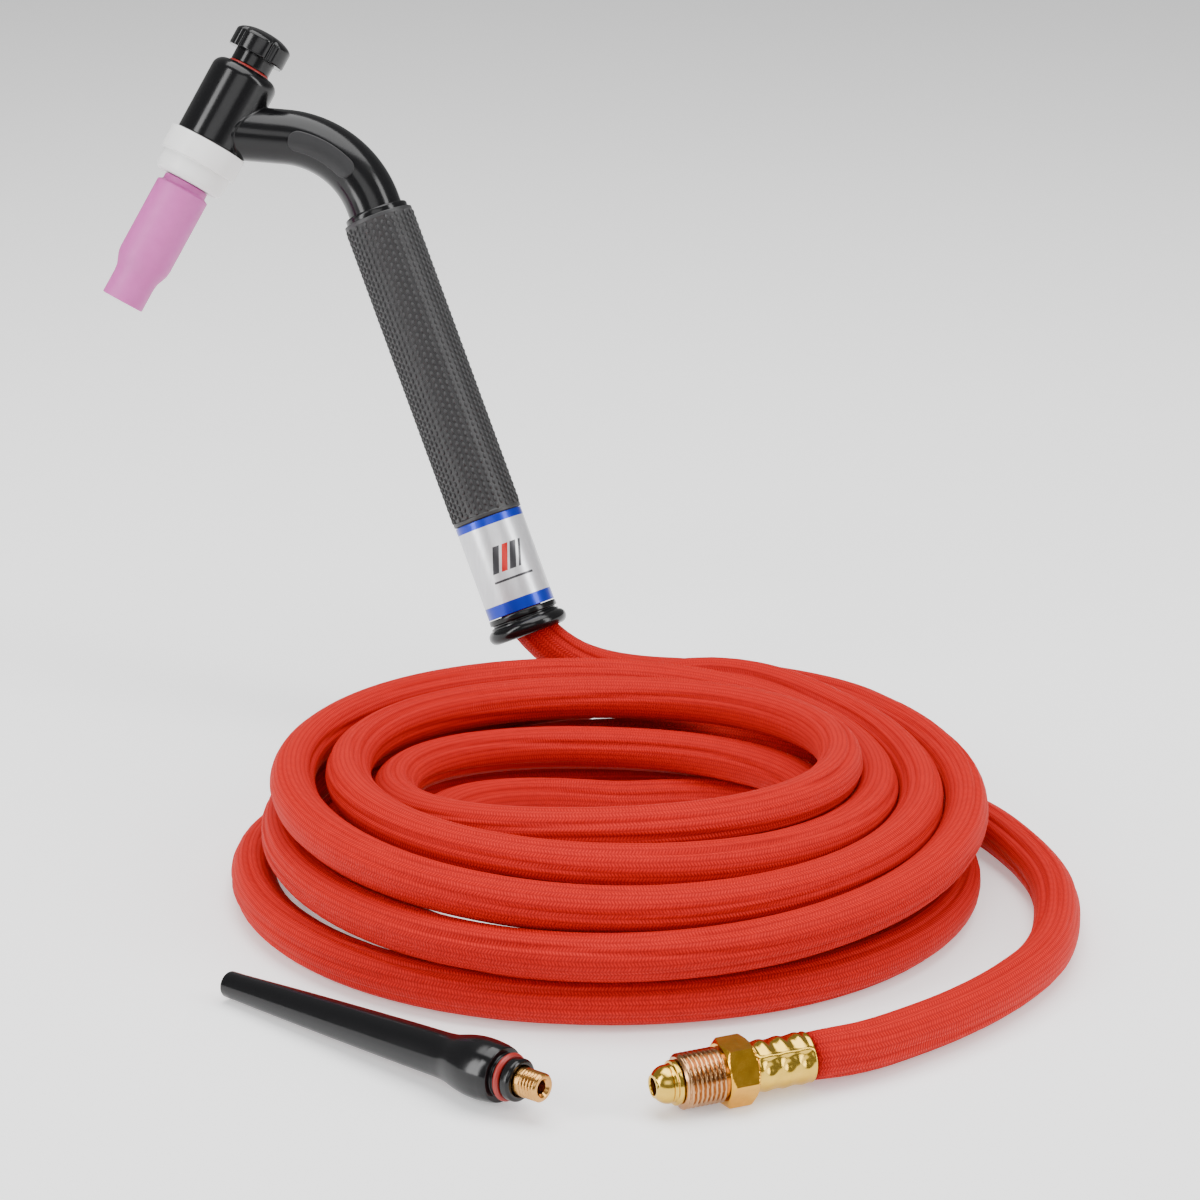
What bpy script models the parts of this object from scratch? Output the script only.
"""Gas-cooled TIG torch with a flexible neck, its braided power cable laid in a coil, and a spare long cap.

Metres, +Z up. The cable coil, its end fitting and the spare cap lie on the floor at z = 0. The torch
stands over the back of the coil on its own stiff cable, leaning back, with its head up and to the left.
"""

import math

import bmesh
import bpy
from mathutils import Euler, Matrix, Vector

MM = 0.001
GAP = 0.3  # clearance between neighbouring solids, mm

# Where the coil's centre lies in the part's frame, mm
COIL_CENTRE = (95.13, -4.56)

# Cable, mm
CABLE_D = 14.5
ROUTE_STEP = 13.0  # between the points that the cable's tubes are drawn through
COIL_START_DEG = 55.0
COIL_END_DEG = 2565.0

# Torch placing: the torch frame's origin is where the neck enters the handle, mm and degrees
TORCH_ORIGIN = (-80.8, 156.9, 183.3)
TORCH_LEAN_BACK = 19.0
HANDLE_TILT = 20.1
HEAD_TILT = 28.6
CUP_SEAT = (-66.4, 9.8)  # across and up in the torch's own plane

# Handle, mm
COLLAR_R = 12.6
COLLAR_HEIGHT = 2.0
GRIP_LENGTH = 112.2
GRIP_R = 12.4
LABEL_LENGTH = 34.3
LABEL_R = 12.15
LINER_R = 11.0
LINER_BORE = 10.0
END_COLLAR_LENGTH = 8.4
END_GROOVE_R = 11.6
END_MOUTH_R = 12.2
END_RING_R = 14.25
END_RING_HEIGHT = 5.6

# Inside the handle, mm down from its top
STUD_TOP = 20.4
STUD_END = 45.0
STUD_R = 4.2
ADAPTER_TOP = 45.4
ADAPTER_END = 126.0
ADAPTER_TAIL_R = 4.0
INNER_FLANGE_R = 8.0

# Neck, mm
NECK_R = 9.65
NECK_BORE = 6.2
CONDUCTOR_R = 5.6
CONDUCTOR_BORE = 1.6
CONDUCTOR_START = 12.0  # from the head's axis
NECK_BEND_R = 36.0
NECK_BEND_DEG = 65.0
NECK_TOP_STRAIGHT = 25.0
NECK_LOW_STRAIGHT = 2.7
NECK_STUB = 18.0  # length of the head shell's own neck root, from the head's axis
NECK_INSERTION = 15.0

# Head, mm, measured up the head's axis from the cup's seat
CUP_LENGTH = 47.4
CUP_R = 9.75
CUP_NECK_R = 8.2
CUP_TIP_R = 7.65
CUP_BORE_R = 6.6
CUP_MOUTH_R = 5.2
CUP_STEM_TOP = 10.0
SHIELD_LOWER_R = 12.85
SHIELD_UPPER_R = 14.2
SHIELD_STEP = 7.6
SHIELD_HEIGHT = 16.1
SHIELD_BORE_R = 7.4
SHELL_R = 12.25
SHELL_SHOULDER_R = 4.0
SHELL_TOP = 45.3
CORE_R = 8.0
CORE_BORE_R = 4.7
CORE_TOP = 43.6
COLLET_R = 1.95
COLLET_BORE_R = 1.5
ELECTRODE_R = 1.15
ELECTRODE_TIP = -30.0
ELECTRODE_TOP = 38.0
SEAL_R = 0.8
CAP_STEM_R = 7.35
CAP_RIM_R = 10.5
CAP_RIM_LOW = 50.4
CAP_TOP = 59.9
CAP_BORE_R = 4.6

# End fitting, mm
FITTING_MOUTH = (56.65, -151.84, 8.85)
FITTING_HEADING = (-0.922, -0.387, 0.0)
FERRULE_R = 7.4
FERRULE_BORE_R = 5.0
FERRULE_LENGTH = 18.4
HEX_FLATS = 17.46
HEX_HEIGHT = 8.9
THREAD_R = 7.94
THREAD_DEPTH = 0.85
THREAD_PITCH = 1.41
THREAD_LENGTH = 12.8
NIPPLE_R = 4.8
NIPPLE_BORE_R = 2.4
NIPPLE_FLANGE_R = 6.4
NOSE_R = 4.6
NOSE_LENGTH = 7.2

# Spare long cap, mm: its axis runs from the narrow end towards the threaded one
SPARE_NARROW_END = (-112.7, -94.8, 4.25)
SPARE_THREAD_END = (-16.5, -175.0, 10.35)
SPARE_LENGTH = 124.0
SPARE_BULB_R = 8.85
SPARE_COLLAR_R = 6.2
SPARE_THREAD_R = 4.2
SPARE_THREAD_PITCH = 1.1

# The cable's free stretches, mm from the coil's centre
LEAD_ROUTE = [
    (-37.9, 116.9, 67.3), (-34.2, 113.9, 58.5), (-29.4, 111.2, 50.0), (-24.2, 109.4, 43.6),
    (-17.8, 108.5, 37.7), (-9.6, 109.4, 32.2), (0.6, 111.8, 27.9), (13.2, 114.8, 24.8), (28.5, 116.0, 23.4),
    (46.5, 112.2, 23.4), (66.3, 99.4, 25.2), (84.2, 80.2, 27.4), (97.9, 58.5, 28.5),
]
TAIL_ROUTE = [
    (79.2, 69.2, 7.4), (102.0, 47.0, 7.4), (122.0, 26.0, 7.4), (134.2, -0.9, 7.4), (140.4, -29.0, 7.4),
    (139.2, -55.7, 7.4), (132.4, -81.2, 7.4), (119.4, -102.1, 7.4), (102.8, -120.3, 7.4),
    (85.5, -134.6, 7.5), (72.0, -144.2, 8.0), (56.9, -151.7, 8.85),
]

# How the coil's turns lie: degrees clockwise from the back, radius, height. Quarter turns, in order.
COIL_ORIGIN = (0.0, -10.0)
COIL_LAY = [
    (55, 119.5, 28.5), (90, 115, 27.5), (180, 104.5, 22), (270, 103, 22), (350, 105, 22),
    (380, 113.5, 31), (410, 105.5, 31.5), (450, 100.5, 31), (540, 94.7, 32.8), (630, 99.8, 38),
    (720, 94, 35), (810, 86, 33.5), (900, 82.5, 41.2), (990, 82, 40),
    (1080, 79, 34), (1170, 74.5, 42.5), (1260, 69, 47.2), (1350, 67.5, 33),
    (1440, 64.7, 21), (1530, 72, 24), (1620, 74.5, 24.5), (1710, 56, 20),
    (1800, 48.4, 8), (1890, 90, 12), (1980, 88, 12), (2070, 88, 22),
    (2160, 88, 20), (2205, 98, 17), (2250, 112, 7.4), (2340, 103, 7.4), (2430, 113, 7.4),
    (2520, 98, 7.4), (2565, 112, 7.4),
]


# ---------------------------------------------------------------- scene and materials

def clear_scene():
    for obj in list(bpy.data.objects):
        bpy.data.objects.remove(obj, do_unlink=True)


def material(name, colour, roughness, metallic=0.0):
    made = bpy.data.materials.new(name)
    made.use_nodes = True
    shader = made.node_tree.nodes["Principled BSDF"]
    shader.inputs["Base Color"].default_value = (*colour, 1.0)
    shader.inputs["Roughness"].default_value = roughness
    shader.inputs["Metallic"].default_value = metallic
    made.diffuse_color = (*colour, 1.0)
    return made


def empty(name, parent, location=(0, 0, 0), turn_about_y=0.0, turn_about_x=0.0):
    """A placing frame: location in mm, turns in degrees."""
    made = bpy.data.objects.new(name, None)
    made.location = Vector(location) * MM
    made.rotation_euler = Euler((math.radians(turn_about_x), math.radians(turn_about_y), 0))
    made.parent = parent
    bpy.context.scene.collection.objects.link(made)
    return made


def aimed_empty(name, parent, start, heading):
    """A placing frame at start (mm) whose +Z runs along heading, with +X kept level."""
    up = Vector(heading).normalized()
    level = Vector((0, 0, 1)).cross(up).normalized()
    turn = Matrix((level, up.cross(level), up)).transposed()
    made = empty(name, parent, start)
    made.rotation_euler = turn.to_euler()
    return made


def add_object(name, build, parent, finish, smooth=40):
    """Makes a mesh object from a bmesh in millimetres."""
    bmesh.ops.recalc_face_normals(build, faces=build.faces)
    bmesh.ops.scale(build, vec=(MM, MM, MM), verts=build.verts)
    mesh = bpy.data.meshes.new(name)
    build.to_mesh(mesh)
    build.free()
    mesh.shade_smooth()
    mesh.set_sharp_from_angle(angle=math.radians(smooth))
    made = bpy.data.objects.new(name, mesh)
    made.parent = parent
    bpy.context.scene.collection.objects.link(made)
    if finish:
        made.data.materials.append(finish)
    return made


# ---------------------------------------------------------------- shapes

def hexagon(radius, angle):
    """The distance to the side of a hexagon whose flats lie at radius, one of them square to +Y."""
    return radius / math.cos(angle % (math.pi / 3) - math.pi / 6)


def scallop(radius, angle, lobes=5, depth=1.0, turned_by=0.23):
    """The distance to the side of a grip rim with broad lobes and narrow notches between them."""
    return radius - depth * (0.5 + 0.5 * math.cos(lobes * (angle - turned_by))) ** 4


def turned(name, outline, parent, finish, segments=24):
    """A lathe shape. The outline's points are (radius, height), and a third entry reshapes the circle.

    An outline that starts and ends on the axis makes a solid, and any other closes on itself round a bore.
    """
    build = bmesh.new()
    rings = []
    for radius, height, *shape in outline:
        if radius == 0:
            rings.append([build.verts.new((0, 0, height))])
            continue
        ring = []
        for step in range(segments):
            angle = 2 * math.pi * step / segments
            reach = shape[0](radius, angle) if shape else radius
            ring.append(build.verts.new((reach * math.cos(angle), reach * math.sin(angle), height)))
        rings.append(ring)
    pairs = list(zip(rings, rings[1:]))
    if outline[0][0] > 0:
        pairs.append((rings[-1], rings[0]))
    for first, second in pairs:
        for step in range(segments):
            corners = [ring[i % len(ring)] for ring, i in
                       ((first, step), (first, step + 1), (second, step + 1), (second, step))]
            face = list(dict.fromkeys(corners))
            if len(face) > 2:
                build.faces.new(face)
    return add_object(name, build, parent, finish)


def tube_outline(outer, inner, low, high):
    return [(outer, high), (outer, low), (inner, low), (inner, high)]


def arc_points(centre, radius, start, end, steps):
    """Points of an arc in an outline's plane, angles in degrees from the outward direction."""
    points = []
    for step in range(steps + 1):
        angle = math.radians(start + (end - start) * step / steps)
        points.append((centre[0] + radius * math.cos(angle), centre[1] + radius * math.sin(angle)))
    return points


def ring_outline(major, minor, height, steps=6):
    return arc_points((major, height), minor, 0, -360 + 360 / steps, steps - 1)


def thread_outline(crest, root, top, bottom, pitch):
    """The outer side of a thread as level grooves, from top down to bottom."""
    points = []
    turns = int((top - bottom) / pitch)
    for turn in range(turns):
        start = top - turn * pitch
        points += [(crest, start), (crest, start - pitch * 0.25), (root, start - pitch * 0.62)]
    points.append((crest, top - turns * pitch))
    return points


def swept_tube(name, path, outer, inner, parent, finish, segments=18):
    """A hollow tube along a path that lies in the parent's XZ plane."""
    build = bmesh.new()
    rings = []
    for index, point in enumerate(path):
        along = (path[min(index + 1, len(path) - 1)] - path[max(index - 1, 0)]).normalized()
        across = Vector((0, 1, 0)).cross(along).normalized()
        pair = []
        for radius in (outer, inner):
            ring = []
            for step in range(segments):
                angle = 2 * math.pi * step / segments
                offset = across * math.cos(angle) + Vector((0, 1, 0)) * math.sin(angle)
                ring.append(build.verts.new(point + offset * radius))
            pair.append(ring)
        rings.append(pair)
    loops = [pair[0] for pair in rings] + [pair[1] for pair in reversed(rings)]
    for first, second in zip(loops, loops[1:] + loops[:1]):
        for step in range(segments):
            after = (step + 1) % segments
            build.faces.new((first[step], first[after], second[after], second[step]))
    return add_object(name, build, parent, finish)


def cut(target, cutter, operation="DIFFERENCE"):
    cutter.hide_render = True
    cutter.display_type = "WIRE"
    modifier = target.modifiers.new(cutter.name, "BOOLEAN")
    modifier.operation = operation
    modifier.object = cutter
    modifier.solver = "EXACT"


def smooth_route(points, step):
    """Points about step apart along a smooth curve through the given ones, in mm."""
    points = [Vector(p) for p in points]
    ends = [2 * points[0] - points[1], *points, 2 * points[-1] - points[-2]]
    fine = []
    for before, start, end, after in zip(ends, ends[1:], ends[2:], ends[3:]):
        for part in range(12):
            t = part / 12
            fine.append(0.5 * ((2 * start) + (end - before) * t
                               + (2 * before - 5 * start + 4 * end - after) * t**2
                               + (3 * start - before - 3 * end + after) * t**3))
    fine.append(points[-1])
    lengths = [0.0]
    for a, b in zip(fine, fine[1:]):
        lengths.append(lengths[-1] + (b - a).length)
    count = max(2, round(lengths[-1] / step))
    route = []
    for index in range(count + 1):
        target = lengths[-1] * index / count
        at = max(i for i, length in enumerate(lengths) if length <= target + 1e-9)
        at = min(at, len(fine) - 2)
        share = (target - lengths[at]) / (lengths[at + 1] - lengths[at])
        route.append(fine[at].lerp(fine[at + 1], share))
    return route


def cord_tube(name, route, radius, parent, finish):
    """A round cord along a route, as a bevelled curve with closed ends."""
    curve = bpy.data.curves.new(name, "CURVE")
    curve.dimensions = "3D"
    curve.bevel_depth = radius * MM
    curve.bevel_resolution = 3
    curve.use_fill_caps = True
    spline = curve.splines.new("POLY")
    spline.points.add(len(route) - 1)
    for point, place in zip(spline.points, route):
        point.co = (*(place * MM), 1)
    made = bpy.data.objects.new(name, curve)
    made.parent = parent
    bpy.context.scene.collection.objects.link(made)
    curve.materials.append(finish)
    return made


# ---------------------------------------------------------------- the cable's coil

def coil_lay(degrees):
    """(radius, height) of the cable's centre line at this many degrees along the coil."""
    lay = COIL_LAY
    at = max(i for i in range(len(lay) - 1) if lay[i][0] <= degrees)
    before, start, end, after = lay[max(at - 1, 0)], lay[at], lay[at + 1], lay[min(at + 2, len(lay) - 1)]
    span = end[0] - start[0]
    t = (degrees - start[0]) / span
    values = []
    for k in (1, 2):
        slope_in = (end[k] - before[k]) / (end[0] - before[0]) * span
        slope_out = (after[k] - start[k]) / (after[0] - start[0]) * span
        values.append((2 * t**3 - 3 * t**2 + 1) * start[k] + (t**3 - 2 * t**2 + t) * slope_in
                      + (3 * t**2 - 2 * t**3) * end[k] + (t**3 - t**2) * slope_out)
    return values


def coil_envelope(bearing, upper_height=20):
    """The inner and outer radius of all turns at this bearing, the same of the upper ones, and the top."""
    passes = []
    degrees = bearing
    while degrees <= COIL_END_DEG:
        if degrees >= COIL_START_DEG:
            passes.append(coil_lay(degrees))
        degrees += 360
    radii = [radius for radius, _ in passes]
    upper = [radius for radius, height in passes if height > upper_height]
    half = CABLE_D / 2
    top = max(height for _, height in passes) + half
    return (min(radii) - half, max(radii) + half), (min(upper) - half, max(upper) + half), top


def coil_section(bearing, foot=0.1, edge=3, low_side=4, wall_top=14, slope_top=22):
    """The coil's outline at this bearing as (radius, height) points: a wide foot under a narrower top."""
    (inner, outer), (top_inner, top_outer), top = coil_envelope(bearing)
    return [
        (inner + edge, foot), (outer - edge, foot), (outer, low_side), (outer, wall_top),
        (max(top_outer, outer - 4), slope_top), (max(top_outer - 3, outer - 16), top - edge),
        (top_outer - 14, top), (top_inner + 4, top), (top_inner, top - 7), (inner, wall_top),
        (inner, low_side),
    ]


def cable_coil(parent, finish, sides=48):
    """One closed ring with the coil's outer shape: a section for every bearing, joined all the way round."""
    build = bmesh.new()
    middle_x, middle_y = COIL_ORIGIN
    rings = []
    for side in range(sides):
        angle = 2 * math.pi * side / sides
        right, back = math.sin(angle), math.cos(angle)
        rings.append([build.verts.new((middle_x + radius * right, middle_y + radius * back, z))
                      for radius, z in coil_section(math.degrees(angle))])
    for first, second in zip(rings, rings[1:] + rings[:1]):
        for step in range(len(first)):
            after = (step + 1) % len(first)
            build.faces.new((first[step], first[after], second[after], second[step]))
    return add_object("cable_coil", build, parent, finish, smooth=60)


def cable(frame, red):
    """The cable's coil, and its free stretches, which lie in grooves cut in the coil."""
    coil = cable_coil(frame, red)
    groove = CABLE_D / 2 + 1.5 * GAP
    for name, points in (("lead", LEAD_ROUTE), ("tail", TAIL_ROUTE)):
        route = smooth_route(points, ROUTE_STEP)
        cord_tube(f"cable_{name}", route, CABLE_D / 2, frame, red)
        cut(coil, swept_cutter(f"{name}_clearance", route, groove, frame))


def swept_cutter(name, route, radius, parent, segments=12):
    """A plain closed tube along a route, run on by a millimetre past both ends."""
    first = route[0] + (route[0] - route[1]).normalized()
    last = route[-1] + (route[-1] - route[-2]).normalized()
    route = [first, *route, last]
    build = bmesh.new()
    rings = []
    side = Vector((0, 0, 1))
    for index, point in enumerate(route):
        along = (route[min(index + 1, len(route) - 1)] - route[max(index - 1, 0)]).normalized()
        side = (side - along * side.dot(along)).normalized()
        over = along.cross(side)
        ring = []
        for step in range(segments):
            angle = 2 * math.pi * step / segments
            ring.append(build.verts.new(point + (side * math.cos(angle) + over * math.sin(angle)) * radius))
        rings.append(ring)
    for a, b in zip(rings, rings[1:]):
        for step in range(segments):
            after = (step + 1) % segments
            build.faces.new((a[step], a[after], b[after], b[step]))
    build.faces.new(list(reversed(rings[0])))
    build.faces.new(rings[-1])
    return add_object(name, build, parent, None)


# ---------------------------------------------------------------- the torch

def neck_route(start, end, step=5.0):
    """Points of the neck's centre line in the torch's plane, between two distances from the head's axis."""
    tilt = math.radians(HANDLE_TILT)
    up_handle = Vector((-math.sin(tilt), 0, math.cos(tilt)))
    inward = Vector((-math.cos(tilt), 0, -math.sin(tilt)))
    bend_end = up_handle * NECK_LOW_STRAIGHT
    centre = bend_end + inward * NECK_BEND_R
    bend = math.radians(NECK_BEND_DEG)
    bend_length = NECK_BEND_R * bend
    total = NECK_TOP_STRAIGHT + bend_length + NECK_LOW_STRAIGHT

    def on_bend(turn):
        return centre - inward * NECK_BEND_R * math.cos(turn) + up_handle * NECK_BEND_R * math.sin(turn)

    bend_start = on_bend(bend)
    towards_head = (inward * math.sin(bend) + up_handle * math.cos(bend)).normalized()
    count = max(2, round((end - start) / step))
    points = []
    for index in range(count + 1):
        distance = start + (end - start) * index / count
        if distance <= NECK_TOP_STRAIGHT:
            points.append(bend_start + towards_head * (NECK_TOP_STRAIGHT - distance))
        elif distance <= NECK_TOP_STRAIGHT + bend_length:
            points.append(on_bend(bend - (distance - NECK_TOP_STRAIGHT) / NECK_BEND_R))
        else:
            points.append(up_handle * (total - distance))
    return points


def neck_length():
    return NECK_TOP_STRAIGHT + NECK_BEND_R * math.radians(NECK_BEND_DEG) + NECK_LOW_STRAIGHT


def flex_place():
    """The middle of the neck's bend, which its flexing is taken to turn about."""
    return neck_route(0, NECK_TOP_STRAIGHT + NECK_BEND_R * math.radians(NECK_BEND_DEG) / 2)[-1]


def handle(frame, finish):
    """The handle's shells, down from its top at 0."""
    axis = empty("handle_axis", frame, turn_about_y=-HANDLE_TILT)
    grip_top = -COLLAR_HEIGHT - GAP
    grip_end = grip_top - GRIP_LENGTH
    label_top = grip_end - GAP
    label_end = label_top - LABEL_LENGTH
    collar_top = label_end - GAP
    end = collar_top - END_COLLAR_LENGTH
    sleeve_bore = LINER_R + GAP
    collar_bore = LINER_BORE + 0.1
    chamfer = 0.5
    turned("handle_top_collar",
           [(COLLAR_R - chamfer, 0), (COLLAR_R, -chamfer), (COLLAR_R, -COLLAR_HEIGHT),
            (collar_bore, -COLLAR_HEIGHT), (collar_bore, 0)], axis, finish["moulded_black"])
    turned("handle_grip",
           [(GRIP_R - chamfer, grip_top), (GRIP_R, grip_top - chamfer), (GRIP_R, grip_end + chamfer),
            (GRIP_R - chamfer, grip_end), (sleeve_bore, grip_end), (sleeve_bore, grip_top)],
           axis, finish["grip_black"])
    turned("handle_label", tube_outline(LABEL_R, sleeve_bore, label_end, label_top), axis,
           finish["label_silver"])
    turned("handle_liner", tube_outline(LINER_R, LINER_BORE, label_end, grip_top), axis,
           finish["liner_black"])
    groove_top = collar_top - 2.1
    turned("handle_end_collar",
           [(COLLAR_R - chamfer, collar_top), (12.3, collar_top - 0.7), (12.3, groove_top + 0.2),
            (END_GROOVE_R, groove_top), (END_GROOVE_R, groove_top - 0.6), (COLLAR_R, groove_top - 0.8),
            (COLLAR_R, end), (END_MOUTH_R, end), (LINER_BORE + 0.7, collar_top - 3.7),
            (collar_bore, collar_top)], axis, finish["moulded_black"])
    ring_low = end - 0.4
    ring_top = ring_low + END_RING_HEIGHT
    bulge = 1.7
    ring_bore = COLLAR_R + GAP
    turned("handle_end_ring",
           [(ring_bore, ring_top), (ring_bore + 0.5, ring_top)]
           + arc_points((END_RING_R - bulge, (ring_top + ring_low) / 2), bulge, 60, -60, 6)
           + [(ring_bore + 0.5, ring_low), (ring_bore, ring_low)], axis, finish["moulded_black"])
    handle_core(axis, finish["brass"])


def handle_core(axis, brass):
    """What carries gas and current inside the handle, from the neck's stud down to the cable's end."""
    stud_neck = STUD_TOP + 5.6
    turned("neck_stud",
           [(0, -STUD_TOP), (8.2, -STUD_TOP), (8.2, -stud_neck), (STUD_R, -stud_neck - 0.4),
            (STUD_R, -STUD_END), (0, -STUD_END)], axis, brass)
    nut_top = stud_neck + 3
    nut_end = STUD_END - 2
    nut_bore = STUD_R + 0.4
    turned("adapter_nut",
           [(INNER_FLANGE_R, -nut_top, hexagon), (INNER_FLANGE_R, -nut_end, hexagon),
            (nut_bore, -nut_end), (nut_bore, -nut_top)], axis, brass)
    flange_end = ADAPTER_TOP + 7.6
    shank_end = ADAPTER_END - 27
    turned("cable_adapter",
           [(0, -ADAPTER_TOP), (INNER_FLANGE_R, -ADAPTER_TOP), (INNER_FLANGE_R, -flange_end),
            (5.5, -flange_end - 2), (5.5, -shank_end), (ADAPTER_TAIL_R, -shank_end - 2),
            (ADAPTER_TAIL_R, -ADAPTER_END), (0, -ADAPTER_END)], axis, brass)
    turned("adapter_ferrule",
           tube_outline(INNER_FLANGE_R + GAP, ADAPTER_TAIL_R + 0.4, -ADAPTER_END - 3, -shank_end - 5),
           axis, brass)


def neck(frame, finish):
    """The neck's skin and the copper that carries gas and current through it, both bent with the neck."""
    end = neck_length() + NECK_INSERTION
    swept_tube("neck_sleeve", neck_route(NECK_STUB + GAP, end), NECK_R, NECK_BORE, frame,
               finish["moulded_black"])
    swept_tube("neck_conductor", neck_route(CONDUCTOR_START, end + 5), CONDUCTOR_R, CONDUCTOR_BORE, frame,
               finish["copper"], 14)


def head(flex, finish):
    """All that moves with the head. Its frame stands on the axis that the neck flexes about."""
    seat = Vector((CUP_SEAT[0], 0, CUP_SEAT[1]))
    axis = empty("head_axis", flex, seat - flex_place(), turn_about_y=HEAD_TILT)
    head_shell(flex, axis, finish["moulded_black"])
    edge = 0.8
    turned("heat_shield",
           [(SHIELD_UPPER_R - edge, SHIELD_HEIGHT), (SHIELD_UPPER_R, SHIELD_HEIGHT - edge),
            (SHIELD_UPPER_R, SHIELD_STEP + 0.5), (SHIELD_UPPER_R - 0.5, SHIELD_STEP),
            (SHIELD_LOWER_R, SHIELD_STEP), (SHIELD_LOWER_R, 2.2)]
           + arc_points((SHIELD_LOWER_R - 2, 2.2), 2, -15, -90, 4)
           + [(SHIELD_BORE_R, 0.2), (SHIELD_BORE_R, SHIELD_HEIGHT)], axis, finish["shield_white"], 28)
    turned("head_core", tube_outline(CORE_R, CORE_BORE_R, SHIELD_HEIGHT + 2 * GAP, CORE_TOP), axis,
           finish["brass"], 28)
    turned("collet_body",
           [(4.3, 24), (4.3, 12), (4.9, 12), (4.9, -22), (4.2, -24), (2.3, -24), (2.3, 24)], axis,
           finish["copper"])
    turned("collet", tube_outline(COLLET_R, COLLET_BORE_R, -22, 26), axis, finish["copper"], 16)
    turned("tungsten_electrode",
           [(0, ELECTRODE_TOP), (ELECTRODE_R, ELECTRODE_TOP), (ELECTRODE_R, ELECTRODE_TIP + 5),
            (0.3, ELECTRODE_TIP), (0, ELECTRODE_TIP)], axis, finish["tungsten"], 12)
    cup(axis, finish["alumina_pink"])
    button_cap(axis, finish)


def head_shell(flex, axis, black):
    """The moulded head with the root of the neck, hollow for the core and for the neck's conductor."""
    low = SHIELD_HEIGHT + GAP
    beyond = 60  # well outside the shell
    shoulder = (SHELL_R - SHELL_SHOULDER_R, SHELL_TOP - SHELL_SHOULDER_R)
    shell = turned("head_shell",
                   [(0, SHELL_TOP)] + arc_points(shoulder, SHELL_SHOULDER_R, 90, 0, 6)
                   + [(SHELL_R, low), (0, low)], axis, black, 28)
    root = neck_route(0, NECK_STUB)
    root_axis = aimed_empty("neck_root_axis", flex, root[0] - flex_place(), root[-1] - root[0])
    stub = turned("neck_root", [(0, NECK_STUB), (NECK_R, NECK_STUB), (NECK_R, 0), (0, 0)], root_axis,
                  None, 32)
    cut(shell, stub, "UNION")
    under = turned("shield_clearance", [(0, low), (beyond, low), (beyond, -8), (0, -8)], axis, None, 32)
    core = CORE_R + GAP + 0.05
    core_bore = turned("core_bore", [(0, beyond), (core, beyond), (core, 0), (0, 0)], axis, None, 32)
    conductor_bore = turned("conductor_bore", [(0, 30), (NECK_BORE, 30), (NECK_BORE, 2), (0, 2)],
                            root_axis, None)
    for cutter in (under, core_bore, conductor_bore):
        cut(shell, cutter)


def cup(axis, alumina):
    """The gas cup: a threaded stem inside the shield, a collar, a straight body and a narrower tip."""
    stem = 7.0
    stem_bore = 5.3
    rim = 0.4
    turned("alumina_cup",
           [(stem, CUP_STEM_TOP), (stem, -0.1), (CUP_NECK_R, -0.1), (CUP_NECK_R, -2.2), (CUP_R - 0.5, -2.9),
            (CUP_R, -3.4), (CUP_R, -30.6), (8.9, -33.6), (8.1, -35.8), (CUP_TIP_R, -38),
            (CUP_TIP_R, -CUP_LENGTH + rim), (CUP_TIP_R - rim, -CUP_LENGTH),
            (CUP_MOUTH_R, -CUP_LENGTH), (CUP_MOUTH_R, -38), (CUP_BORE_R, -28), (CUP_BORE_R, -2),
            (stem_bore, 0), (stem_bore, CUP_STEM_TOP)], axis, alumina)


def button_cap(axis, finish):
    """The short back cap, its threaded insert and the seal that it closes on."""
    seal_height = SHELL_TOP + GAP + SEAL_R
    turned("button_cap_oring", ring_outline(6.55, SEAL_R, seal_height), axis, finish["seal_red"], 20)
    stem_low = seal_height + SEAL_R + GAP
    bore_top = 53.6
    turned("button_back_cap",
           [(0, CAP_TOP), (4.5, CAP_TOP - 0.35), (8.3, CAP_TOP - 1.6),
            (CAP_RIM_R - 0.6, CAP_TOP - 2.9, scallop), (CAP_RIM_R, CAP_TOP - 3.8, scallop),
            (CAP_RIM_R, CAP_RIM_LOW + 0.6, scallop), (CAP_RIM_R - 0.8, CAP_RIM_LOW, scallop),
            (CAP_STEM_R, CAP_RIM_LOW), (CAP_STEM_R, stem_low),
            (CAP_BORE_R, stem_low), (CAP_BORE_R, bore_top), (0, bore_top)], axis, finish["moulded_black"], 40)
    insert = CAP_BORE_R - GAP
    turned("button_cap_insert",
           [(0, bore_top - 0.4), (insert, bore_top - 0.4), (insert, ELECTRODE_TOP + 2 * GAP),
            (0, ELECTRODE_TOP + 2 * GAP)], axis, finish["brass"], 20)


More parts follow.
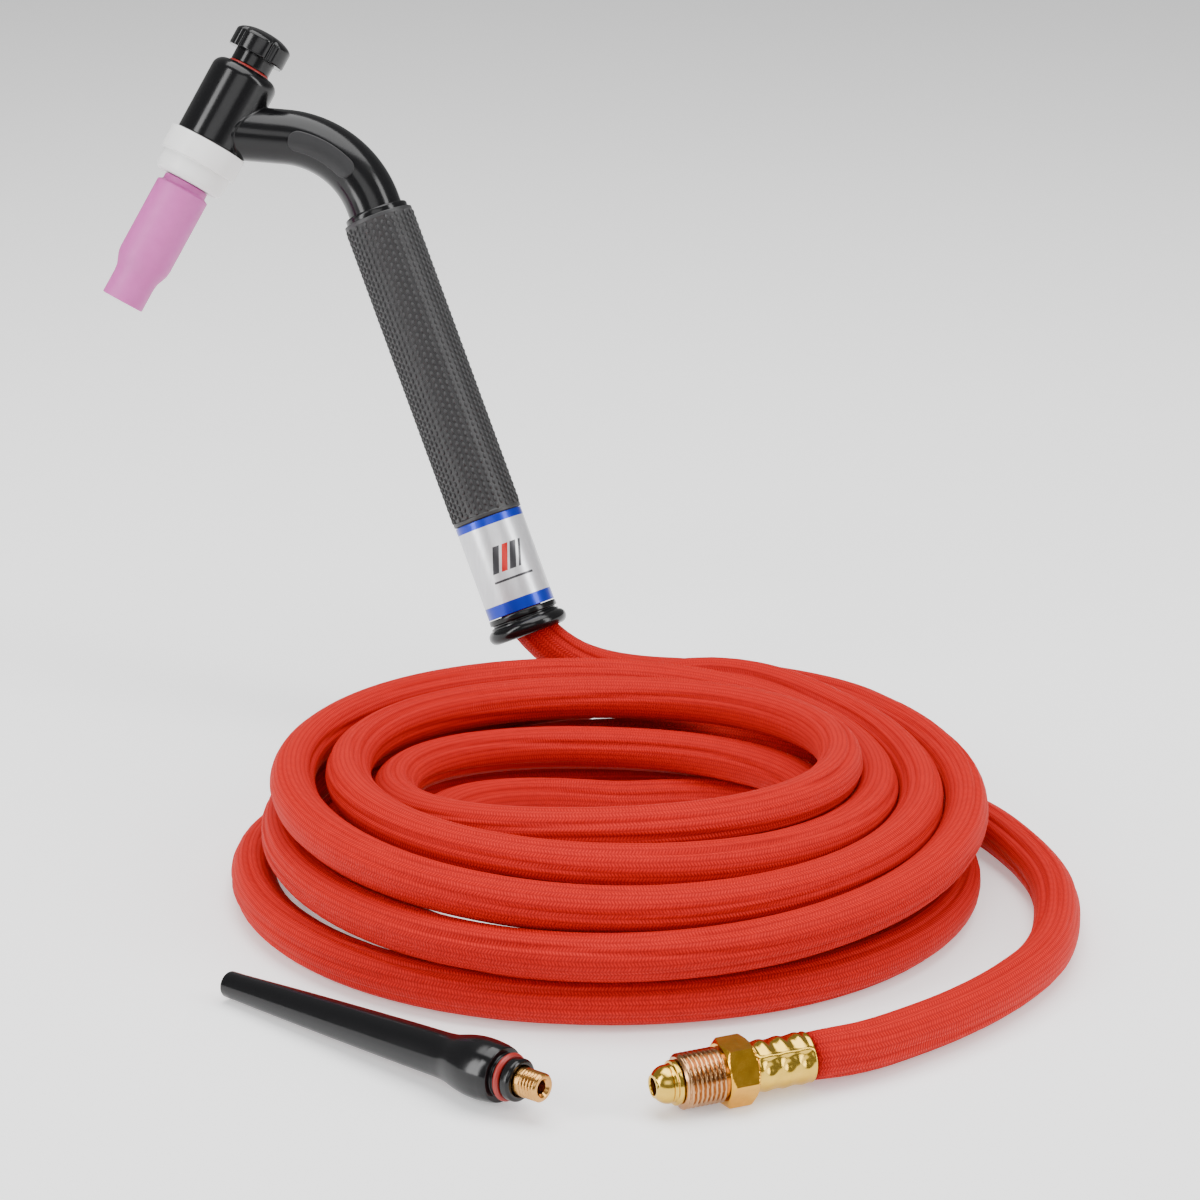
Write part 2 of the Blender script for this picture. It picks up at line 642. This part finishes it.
def end_fitting(frame, finish):
    """The crimped ferrule on the cable's end, the nut with its male thread, and the ball-nosed nipple."""
    axis = aimed_empty("fitting_axis", frame, FITTING_MOUTH, FITTING_HEADING)
    start = 0.4
    lip = 0.4
    turned("fitting_ferrule",
           [(FERRULE_R - lip, start), (FERRULE_BORE_R, start), (FERRULE_BORE_R, FERRULE_LENGTH),
            (FERRULE_R - lip, FERRULE_LENGTH), (FERRULE_R, FERRULE_LENGTH - 2 * lip),
            (FERRULE_R, start + 2 * lip)], axis, finish["brass"])
    hex_low = FERRULE_LENGTH + GAP
    hex_high = hex_low + HEX_HEIGHT
    thread_end = hex_high + THREAD_LENGTH
    flats = HEX_FLATS / 2
    nut_bore = NIPPLE_R + 0.4
    turned("fitting_nut",
           [(THREAD_R - 0.8, thread_end)]
           + thread_outline(THREAD_R, THREAD_R - THREAD_DEPTH, thread_end - 0.6, hex_high + 0.4, THREAD_PITCH)
           + [(THREAD_R - 0.6, hex_high), (flats - 0.4, hex_high), (flats, hex_high - 0.8, hexagon),
              (flats, hex_low + 0.8, hexagon), (flats - 0.4, hex_low), (nut_bore, hex_low),
              (nut_bore, thread_end)], axis, finish["thread_brass"])
    nose = thread_end + GAP
    turned("fitting_nipple",
           [(NIPPLE_BORE_R, nose + NOSE_LENGTH), (3.3, nose + NOSE_LENGTH)]
           + arc_points((1.0, nose + 2.9), NOSE_R, 58, 0, 5)
           + [(5.3, nose + 1.6), (NIPPLE_FLANGE_R, nose + 1.4), (NIPPLE_FLANGE_R, nose), (NIPPLE_R, nose),
              (NIPPLE_R, 2), (NIPPLE_BORE_R, 2)], axis, finish["brass"], 20)


def spare_cap(frame, finish):
    """The long cap on the floor: a taper up to a bulb, a seal behind a collar, and a threaded nose."""
    start = Vector(SPARE_NARROW_END)
    axis = aimed_empty("spare_cap_axis", frame, start, Vector(SPARE_THREAD_END) - start)
    insert_low = 103.0
    socket = SPARE_THREAD_R + GAP
    turned("long_back_cap",
           [(0, 0), (3.4, 0), (4.05, 0.8), (6.6, 86), (7.0, 90), (8.1, 95), (SPARE_BULB_R, 99.5),
            (SPARE_BULB_R, 103.5), (8.5, 107), (8.0, 109.2), (6.1, 109.2), (6.1, 110.2),
            (5.1, 110.3), (5.1, 112.9), (SPARE_COLLAR_R, 113),
            (SPARE_COLLAR_R, 115.4), (5.6, 116), (socket, 116), (socket, insert_low - 0.4),
            (0, insert_low - 0.4)], axis, finish["moulded_black"])
    turned("long_cap_oring", ring_outline(6.3, 0.85, 111.6), axis, finish["seal_red"], 20)
    bore = 1.6
    root = SPARE_THREAD_R - 0.6
    turned("long_cap_thread",
           [(bore, SPARE_LENGTH), (root, SPARE_LENGTH)]
           + thread_outline(SPARE_THREAD_R, root, SPARE_LENGTH - 0.6, 117.2, SPARE_THREAD_PITCH)
           + [(SPARE_THREAD_R, 116.8), (SPARE_THREAD_R, insert_low), (bore, insert_low)],
           axis, finish["thread_brass"], 16)


def finishes():
    return {
        "moulded_black": material("moulded_black", (0.012, 0.012, 0.013), 0.25),
        "grip_black": material("grip_black", (0.035, 0.035, 0.037), 0.55),
        "label_silver": material("label_silver", (0.78, 0.79, 0.8), 0.35),
        "liner_black": material("liner_black", (0.02, 0.02, 0.02), 0.5),
        "shield_white": material("shield_white", (0.8, 0.8, 0.79), 0.4),
        "alumina_pink": material("alumina_pink", (0.6, 0.24, 0.46), 0.6),
        "brass": material("brass", (0.72, 0.5, 0.16), 0.3, 1.0),
        "thread_brass": material("thread_brass", (0.7, 0.42, 0.2), 0.35, 1.0),
        "copper": material("copper", (0.8, 0.42, 0.28), 0.35, 1.0),
        "tungsten": material("tungsten", (0.4, 0.4, 0.42), 0.4, 1.0),
        "seal_red": material("seal_red", (0.5, 0.04, 0.02), 0.45),
        "braid_red": material("braid_red", (0.72, 0.03, 0.015), 0.6),
    }


def main():
    clear_scene()
    finish = finishes()
    frame = empty("coil_frame", None, (*COIL_CENTRE, 0))
    torch = empty("torch_frame", frame, TORCH_ORIGIN, turn_about_x=-TORCH_LEAN_BACK)
    handle(torch, finish)
    neck(torch, finish)
    head(empty("neck_flex_axis", torch, flex_place()), finish)
    cable(frame, finish["braid_red"])
    end_fitting(frame, finish)
    spare_cap(frame, finish)


main()
